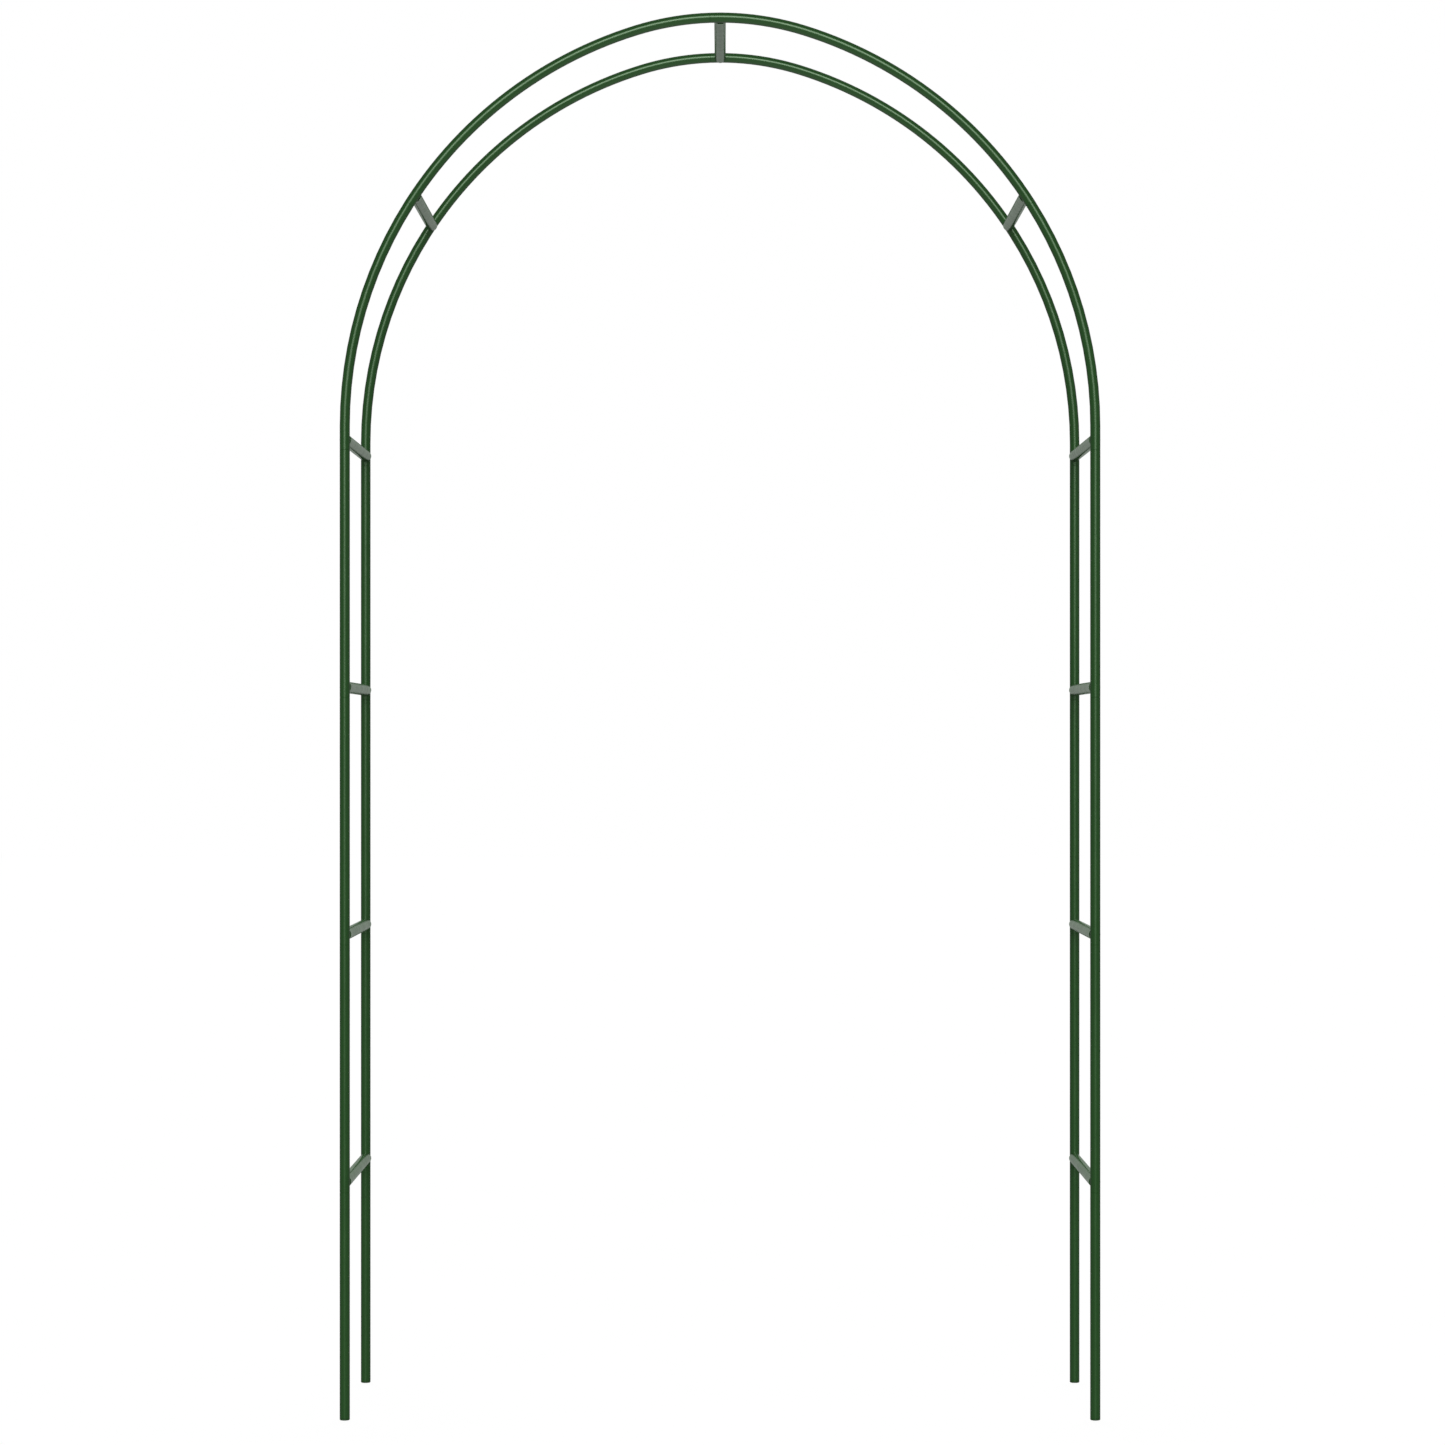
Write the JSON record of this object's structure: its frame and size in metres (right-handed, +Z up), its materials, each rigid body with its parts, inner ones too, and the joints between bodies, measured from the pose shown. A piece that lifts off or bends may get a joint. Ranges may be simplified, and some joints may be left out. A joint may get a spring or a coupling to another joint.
{
  "type": "garden arch",
  "caption": "Free-standing garden arch for climbing plants: two green tubular hoops joined by round cross-bars up both sides and over the top.",
  "frame": {"origin": "on the ground, under the middle of the arch", "axes": "+Z up, the arch spans X, its depth runs along Y, -Y is the front"},
  "size_m": [1.2016, 0.38, 2.221],
  "materials": {
    "hoop_coating": "gloss green coating on steel tube",
    "bar_coating": "gloss green coating on steel tube",
    "cap_plastic": "moulded, satin",
    "plug_nylon": "moulded nylon, satin"
  },
  "bodies": {
    "root": {"leg_front_left_1": "hoop_coating", "leg_front_left_2": "hoop_coating", "leg_front_left_3": "hoop_coating", "leg_front_left_4": "hoop_coating", "leg_front_right_1": "hoop_coating", "leg_front_right_2": "hoop_coating", "leg_front_right_3": "hoop_coating", "leg_front_right_4": "hoop_coating", "leg_back_left_1": "hoop_coating", "leg_back_left_2": "hoop_coating", "leg_back_left_3": "hoop_coating", "leg_back_left_4": "hoop_coating", "leg_back_right_1": "hoop_coating", "leg_back_right_2": "hoop_coating", "leg_back_right_3": "hoop_coating", "leg_back_right_4": "hoop_coating", "haunch_front_left": "hoop_coating", "haunch_front_right": "hoop_coating", "haunch_back_left": "hoop_coating", "haunch_back_right": "hoop_coating", "crown_front_left": "hoop_coating", "crown_front_right": "hoop_coating", "crown_back_left": "hoop_coating", "crown_back_right": "hoop_coating", "cap_front_left": "cap_plastic", "cap_front_right": "cap_plastic", "cap_back_left": "cap_plastic", "cap_back_right": "cap_plastic", "bar_left_1": "bar_coating", "bar_left_2": "bar_coating", "bar_left_3": "bar_coating", "bar_left_4": "bar_coating", "bar_right_1": "bar_coating", "bar_right_2": "bar_coating", "bar_right_3": "bar_coating", "bar_right_4": "bar_coating", "bar_left_shoulder": "bar_coating", "bar_right_shoulder": "bar_coating", "bar_apex": "bar_coating", "plugs_front": "plug_nylon", "plugs_back": "plug_nylon"}
  },
  "joints": []
}
